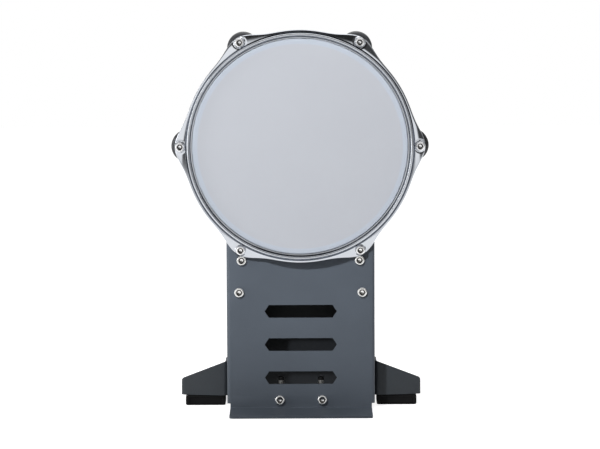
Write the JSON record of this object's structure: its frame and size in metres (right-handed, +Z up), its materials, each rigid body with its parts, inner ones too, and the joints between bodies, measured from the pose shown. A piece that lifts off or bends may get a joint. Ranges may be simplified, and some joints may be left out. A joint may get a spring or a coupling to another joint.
{
  "type": "electronic kick drum pad",
  "caption": "Round mesh-head kick drum pad with a lugged tension hoop on a slotted folded-steel tower, with a pedal lip, side outriggers, rubber feet and anchor spikes.",
  "frame": {"origin": "on the floor, under the middle of the object's bounding box", "axes": "+Z up; -Y is the way the head faces, towards the player; +X to the right as the player sees it"},
  "size_m": [0.2444, 0.236, 0.3625],
  "materials": {
    "slate_steel": "fine slate-grey powder coat",
    "dark_steel": "fine dark grey powder coat",
    "zinc": "bright zinc plate",
    "chrome_steel": "polished chrome",
    "shell_plastic": "satin moulded plastic",
    "socket_plastic": "smooth moulded plastic",
    "woven_mesh": "fine woven polyester mesh",
    "foam": "open-cell foam",
    "bare_aluminium": "mill finish",
    "sensor_brass": "rolled brass",
    "foot_rubber": "moulded rubber",
    "cap_vinyl": "dipped vinyl",
    "lead_rubber": "thin cable sheath"
  },
  "bodies": {
    "stand_and_pad": {"back_cover": "shell_plastic", "base_bolt_left": "zinc", "base_bolt_right": "zinc", "base_nut_left": "zinc", "base_nut_right": "zinc", "cover_screw_1": "zinc", "cover_screw_2": "zinc", "cover_screw_3": "zinc", "cover_screw_4": "zinc", "flesh_hoop": "bare_aluminium", "foam_block": "foam", "foot_front_left": "foot_rubber", "foot_front_right": "foot_rubber", "foot_rear_left": "foot_rubber", "foot_rear_right": "foot_rubber", "foot_screw_front_left": "zinc", "foot_screw_front_right": "zinc", "foot_screw_rear_left": "zinc", "foot_screw_rear_right": "zinc", "frame_screw_lower_left": "zinc", "frame_screw_lower_right": "zinc", "frame_screw_upper_left": "zinc", "frame_screw_upper_right": "zinc", "front_plate": "slate_steel", "head_mesh": "woven_mesh", "hoop": "chrome_steel", "jack_body": "socket_plastic", "jack_nut": "chrome_steel", "neck_bolt_lower_left": "zinc", "neck_bolt_lower_right": "zinc", "neck_bolt_upper_left": "zinc", "neck_bolt_upper_right": "zinc", "neck_nut_lower_left": "zinc", "neck_nut_lower_right": "zinc", "neck_nut_upper_left": "zinc", "neck_nut_upper_right": "zinc", "pad_shell": "shell_plastic", "piezo_disc": "sensor_brass", "rear_frame": "dark_steel", "sensor_lead": "lead_rubber", "sensor_plate": "bare_aluminium", "spike_bracket": "zinc", "wing_left": "dark_steel", "wing_right": "dark_steel", "wing_screw_front_left": "zinc", "wing_screw_front_right": "zinc", "wing_screw_rear_left": "zinc", "wing_screw_rear_right": "zinc"},
    "tension_bolt_1": {"tension_bolt_1": "chrome_steel"},
    "tension_bolt_2": {"tension_bolt_2": "chrome_steel"},
    "tension_bolt_3": {"tension_bolt_3": "chrome_steel"},
    "tension_bolt_4": {"tension_bolt_4": "chrome_steel"},
    "tension_bolt_5": {"tension_bolt_5": "chrome_steel"},
    "tension_bolt_6": {"tension_bolt_6": "chrome_steel"},
    "spike_cap_left": {"spike_cap_left": "cap_vinyl"},
    "spike_left": {"spike_left": "zinc"},
    "spike_cap_right": {"spike_cap_right": "cap_vinyl"},
    "spike_right": {"spike_right": "zinc"}
  },
  "joints": [
    {"name": "tension_bolt_1_turn", "type": "hinge", "parent": "stand_and_pad", "child": "tension_bolt_1", "pos_m": [0.1137, -0.0665, 0.252], "axis": [0, 1, 0], "continuous": true},
    {"name": "tension_bolt_2_turn", "type": "hinge", "parent": "stand_and_pad", "child": "tension_bolt_2", "pos_m": [0.05685, -0.0665, 0.35047], "axis": [0, 1, 0], "continuous": true},
    {"name": "tension_bolt_3_turn", "type": "hinge", "parent": "stand_and_pad", "child": "tension_bolt_3", "pos_m": [-0.05685, -0.0665, 0.35047], "axis": [0, 1, 0], "continuous": true},
    {"name": "tension_bolt_4_turn", "type": "hinge", "parent": "stand_and_pad", "child": "tension_bolt_4", "pos_m": [-0.1137, -0.0665, 0.252], "axis": [0, 1, 0], "continuous": true},
    {"name": "tension_bolt_5_turn", "type": "hinge", "parent": "stand_and_pad", "child": "tension_bolt_5", "pos_m": [-0.05685, -0.0665, 0.15353], "axis": [0, 1, 0], "continuous": true},
    {"name": "tension_bolt_6_turn", "type": "hinge", "parent": "stand_and_pad", "child": "tension_bolt_6", "pos_m": [0.05685, -0.0665, 0.15353], "axis": [0, 1, 0], "continuous": true},
    {"name": "spike_left_travel", "type": "slide", "parent": "stand_and_pad", "child": "spike_cap_left", "axis": [0, 0, -1], "range_m": [0, 0.0064]},
    {"name": "spike_left_turn", "type": "hinge", "parent": "spike_cap_left", "child": "spike_left", "pos_m": [-0.019, -0.036, 0.0135], "axis": [0, 0, -1], "range_deg": [0, 2880]},
    {"name": "spike_right_travel", "type": "slide", "parent": "stand_and_pad", "child": "spike_cap_right", "axis": [0, 0, -1], "range_m": [0, 0.0064]},
    {"name": "spike_right_turn", "type": "hinge", "parent": "spike_cap_right", "child": "spike_right", "pos_m": [0.019, -0.036, 0.0135], "axis": [0, 0, -1], "range_deg": [0, 2880]}
  ],
  "couplings": [
    {"joint": "spike_left_turn", "follows": "spike_left_travel", "rad_per_m": 7854},
    {"joint": "spike_right_turn", "follows": "spike_right_travel", "rad_per_m": 7854}
  ]
}
